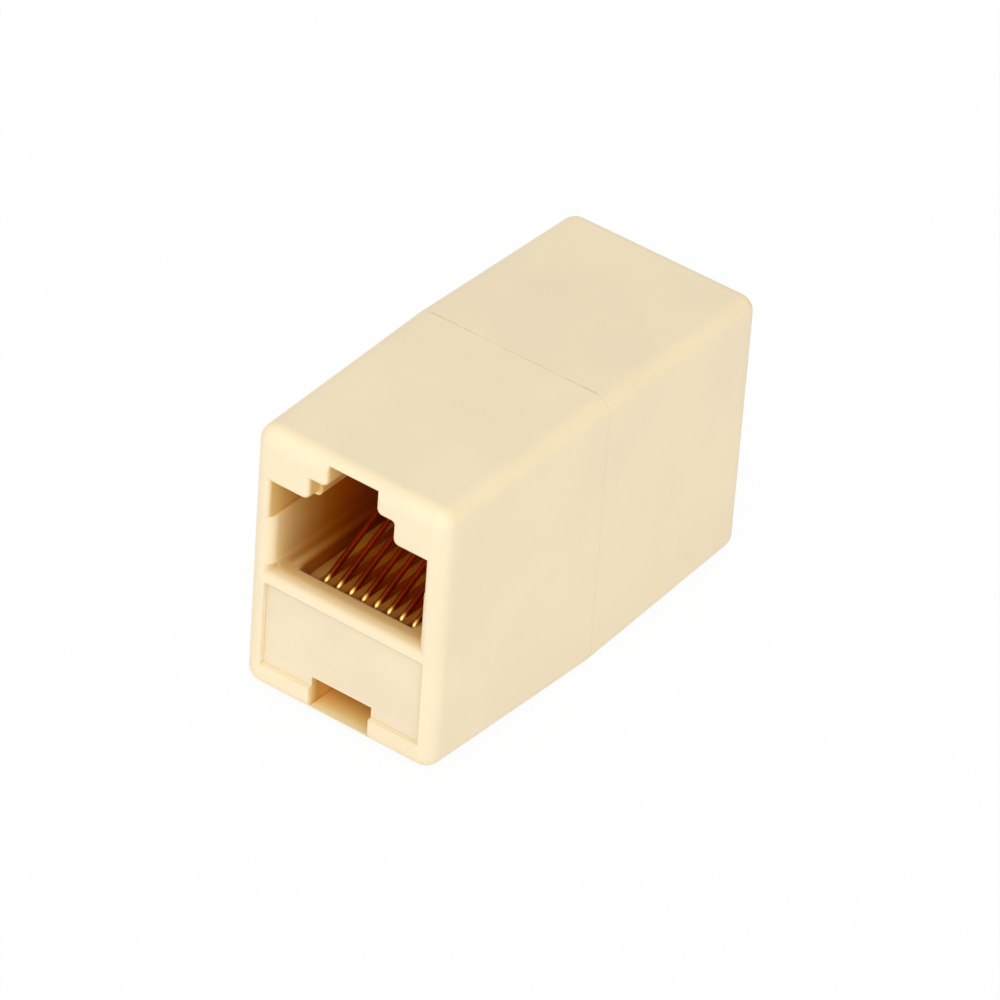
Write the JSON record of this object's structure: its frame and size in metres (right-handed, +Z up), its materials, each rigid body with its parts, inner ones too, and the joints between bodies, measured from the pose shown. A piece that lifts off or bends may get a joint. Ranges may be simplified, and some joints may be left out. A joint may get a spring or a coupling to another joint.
{
  "type": "rj45 inline coupler",
  "caption": "Rectangular cream plastic inline coupler for network cables, with a modular jack, latch channel and sprung gold contacts at each end and a fine seam round the middle.",
  "frame": {"origin": "centre of the footprint, at the height of the lowest point of the housing", "axes": "+X to the right seen from the front jack, +Y from the front jack to the rear jack, +Z up with both latch channels on top"},
  "size_m": [0.0156, 0.0332, 0.0212],
  "materials": {
    "housing": "satin moulded",
    "insert": "satin moulded",
    "contact_gold": "polished gold plating",
    "board": "solder mask"
  },
  "bodies": {
    "root": {"front_shell": "housing", "rear_shell": "housing", "front_insert": "insert", "rear_insert": "insert", "front_contact_1": "contact_gold", "front_contact_2": "contact_gold", "front_contact_3": "contact_gold", "front_contact_4": "contact_gold", "front_contact_5": "contact_gold", "front_contact_6": "contact_gold", "front_contact_7": "contact_gold", "front_contact_8": "contact_gold", "rear_contact_1": "contact_gold", "rear_contact_2": "contact_gold", "rear_contact_3": "contact_gold", "rear_contact_4": "contact_gold", "rear_contact_5": "contact_gold", "rear_contact_6": "contact_gold", "rear_contact_7": "contact_gold", "rear_contact_8": "contact_gold", "link_board": "board"}
  },
  "joints": []
}
